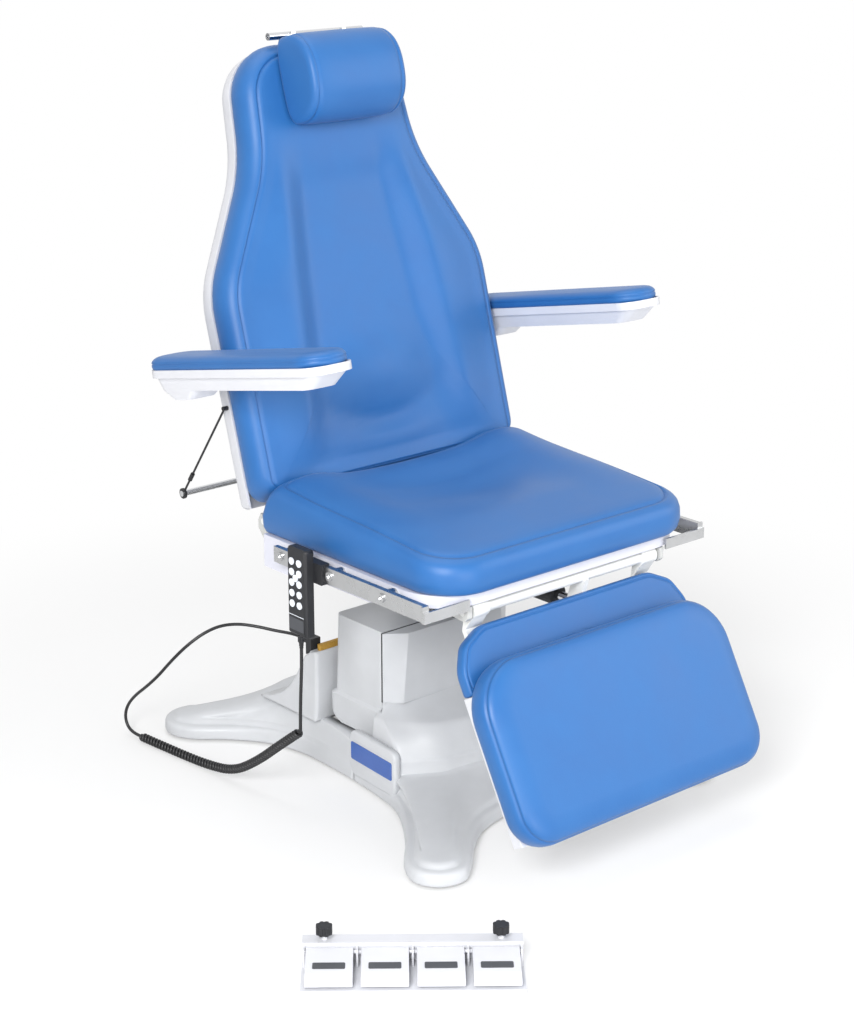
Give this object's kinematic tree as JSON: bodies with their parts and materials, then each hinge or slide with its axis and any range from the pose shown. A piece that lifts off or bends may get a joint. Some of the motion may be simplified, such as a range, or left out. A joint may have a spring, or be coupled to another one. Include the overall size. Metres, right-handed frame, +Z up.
{
  "type": "powered procedure chair",
  "caption": "Padded procedure chair on a covered telescopic lift, with reclining back, leg rest, levelled armrests, side rails, corded handset and foot control.",
  "frame": {"origin": "on the floor in the middle of the four feet, on the underside of the middle pad", "axes": "+Z up, the sitter faces -Y, +X is the sitter's left"},
  "size_m": [1.1276, 1.2104, 1.3256],
  "materials": {
    "cover_plastic": "satin moulded ABS, light grey",
    "shell_plastic": "satin moulded ABS, off-white",
    "pan_plastic": "satin moulded ABS, pale lavender grey",
    "vinyl": "soft blue upholstery vinyl",
    "frame_steel": "light grey powder coat",
    "white_steel": "white powder coat",
    "dark_plastic": "fine texture",
    "grey_plastic": "fine texture",
    "key_white": "domed membrane keys",
    "rail_steel": "brushed stainless",
    "bright_steel": "polished",
    "column_alu": "anodised",
    "seal_rubber": "matt black",
    "strip_cork": "grainy ochre strip",
    "plate_blue": "plain printed plate",
    "lead_rubber": "black cable jacket"
  },
  "bodies": {
    "base": {"base_frame": "frame_steel", "foot_pads": "seal_rubber", "front_base_cover": "cover_plastic", "rear_base_cover": "cover_plastic", "mast_cover": "cover_plastic", "cover_gasket": "seal_rubber", "grip_strip": "strip_cork", "nameplate": "plate_blue", "base_sockets": "dark_plastic", "lift_column_outer": "column_alu", "lift_motor": "frame_steel", "pedal_base": "shell_plastic", "lead_curl": "lead_rubber", "lead_arc": "lead_rubber", "lead_plug": "dark_plastic"},
    "pedal_1": {"pedal_1": "shell_plastic"},
    "pedal_2": {"pedal_2": "shell_plastic"},
    "pedal_3": {"pedal_3": "shell_plastic"},
    "pedal_4": {"pedal_4": "shell_plastic"},
    "knob_near": {"knob_near": "dark_plastic"},
    "knob_far": {"knob_far": "dark_plastic"},
    "lift_middle": {"lift_column_middle": "column_alu"},
    "lift_top": {"lift_column_inner": "column_alu", "lift_hood": "cover_plastic", "lift_head": "frame_steel", "tilt_actuator": "frame_steel"},
    "tilt_rod": {"tilt_rod": "bright_steel"},
    "seat": {"seat_frame": "frame_steel", "neck_cover": "cover_plastic", "seat_pan": "pan_plastic", "seat_cushion": "vinyl", "side_rails": "rail_steel", "rail_fittings": "rail_steel", "control_box": "grey_plastic", "leg_actuator": "dark_plastic", "back_actuator": "dark_plastic", "handset_case": "dark_plastic", "handset_keypad": "key_white", "handset_clip": "dark_plastic", "lead_drop": "lead_rubber"},
    "leg_rod": {"leg_rod": "bright_steel"},
    "back_rod": {"back_rod": "bright_steel"},
    "back": {"back_frame": "white_steel", "back_shell": "shell_plastic", "back_cushion": "vinyl", "rod_straps": "lead_rubber"},
    "paper_rod": {"paper_rod": "bright_steel"},
    "headrest": {"headrest_bar": "bright_steel", "headrest_cushion": "vinyl"},
    "arm_shaft": {"arm_shaft": "bright_steel"},
    "levelling_link": {"levelling_link": "frame_steel"},
    "arm_left": {"arm_shell_left": "shell_plastic", "arm_pad_left": "vinyl"},
    "arm_right": {"arm_shell_right": "shell_plastic", "arm_pad_right": "vinyl"},
    "leg": {"leg_frame": "white_steel", "leg_flap": "vinyl", "leg_shell": "shell_plastic", "leg_cushion": "vinyl"}
  },
  "joints": [
    {"name": "lift", "type": "slide", "parent": "base", "child": "lift_top", "axis": [0, 0, 1], "range_m": [0, 0.33]},
    {"name": "lift_stage", "type": "slide", "parent": "base", "child": "lift_middle", "axis": [0, 0, 1], "range_m": [0, 0.165]},
    {"name": "seat_tilt", "type": "hinge", "parent": "lift_top", "child": "seat", "pos_m": [0, 0.03, 0.35], "axis": [-1, 0, 0], "range_deg": [0, 20]},
    {"name": "tilt_rod_slide", "type": "slide", "parent": "lift_top", "child": "tilt_rod", "axis": [0, 0, -1], "range_m": [0, 0.0172]},
    {"name": "back_recline", "type": "hinge", "parent": "seat", "child": "back", "pos_m": [0, 0.15, 0.49], "axis": [-1, 0, 0], "range_deg": [0, 74]},
    {"name": "back_rod_slide", "type": "slide", "parent": "seat", "child": "back_rod", "axis": [0, -1, 0], "range_m": [0, 0.1099]},
    {"name": "leg_lift", "type": "hinge", "parent": "seat", "child": "leg", "pos_m": [0, -0.338, 0.446], "axis": [-1, 0, 0], "range_deg": [-25, 61]},
    {"name": "leg_rod_slide", "type": "slide", "parent": "seat", "child": "leg_rod", "axis": [0, -1, 0], "range_m": [-0.0307, 0.0747]},
    {"name": "arm_level", "type": "hinge", "parent": "back", "child": "arm_shaft", "pos_m": [0, 0.23375, 0.73854], "axis": [-1, 0, 0], "range_deg": [-74, 0]},
    {"name": "link_swing", "type": "hinge", "parent": "seat", "child": "levelling_link", "pos_m": [0.249, 0.1584, 0.4788], "axis": [-1, 0, 0], "range_deg": [0, 74]},
    {"name": "arm_left_lift", "type": "hinge", "parent": "arm_shaft", "child": "arm_left", "pos_m": [0, 0.23375, 0.73854], "axis": [-1, 0, 0], "range_deg": [0, 80]},
    {"name": "arm_right_lift", "type": "hinge", "parent": "arm_shaft", "child": "arm_right", "pos_m": [0, 0.23375, 0.73854], "axis": [-1, 0, 0], "range_deg": [0, 80]},
    {"name": "headrest_slide", "type": "slide", "parent": "back", "child": "headrest", "axis": [0, 0.2756, 0.9613], "range_m": [0, 0.12]},
    {"name": "paper_rod_spin", "type": "hinge", "parent": "back", "child": "paper_rod", "pos_m": [0, 0.325, 0.511], "axis": [1, 0, 0], "continuous": true},
    {"name": "pedal_1_press", "type": "hinge", "parent": "base", "child": "pedal_1", "pos_m": [-0.63145, -0.4812, 0.03], "axis": [0.7649, -0.6441, 0], "range_deg": [0, 2.2], "stiffness_Nm_per_rad": 40, "springref_deg": -1.15},
    {"name": "pedal_2_press", "type": "hinge", "parent": "base", "child": "pedal_2", "pos_m": [-0.56624, -0.53612, 0.03], "axis": [0.7649, -0.6441, 0], "range_deg": [0, 2.2], "stiffness_Nm_per_rad": 40, "springref_deg": -1.15},
    {"name": "pedal_3_press", "type": "hinge", "parent": "base", "child": "pedal_3", "pos_m": [-0.50103, -0.59103, 0.03], "axis": [0.7649, -0.6441, 0], "range_deg": [0, 2.2], "stiffness_Nm_per_rad": 40, "springref_deg": -1.15},
    {"name": "pedal_4_press", "type": "hinge", "parent": "base", "child": "pedal_4", "pos_m": [-0.43583, -0.64594, 0.03], "axis": [0.7649, -0.6441, 0], "range_deg": [0, 2.2], "stiffness_Nm_per_rad": 40, "springref_deg": -1.15},
    {"name": "knob_near_turn", "type": "hinge", "parent": "base", "child": "knob_near", "pos_m": [-0.62478, -0.45989, 0.058], "axis": [0, 0, 1], "range_deg": [-180, 180]},
    {"name": "knob_far_turn", "type": "hinge", "parent": "base", "child": "knob_far", "pos_m": [-0.41596, -0.63574, 0.058], "axis": [0, 0, 1], "range_deg": [-180, 180]}
  ],
  "couplings": [
    {"joint": "lift_stage", "follows": "lift", "ratio": 0.5},
    {"joint": "tilt_rod_slide", "follows": "seat_tilt", "m_per_rad": 0.049},
    {"joint": "back_rod_slide", "follows": "back_recline", "m_per_rad": 0.085},
    {"joint": "leg_rod_slide", "follows": "leg_lift", "m_per_rad": 0.07},
    {"joint": "arm_level", "follows": "back_recline", "ratio": -1},
    {"joint": "link_swing", "follows": "back_recline", "ratio": 1}
  ]
}
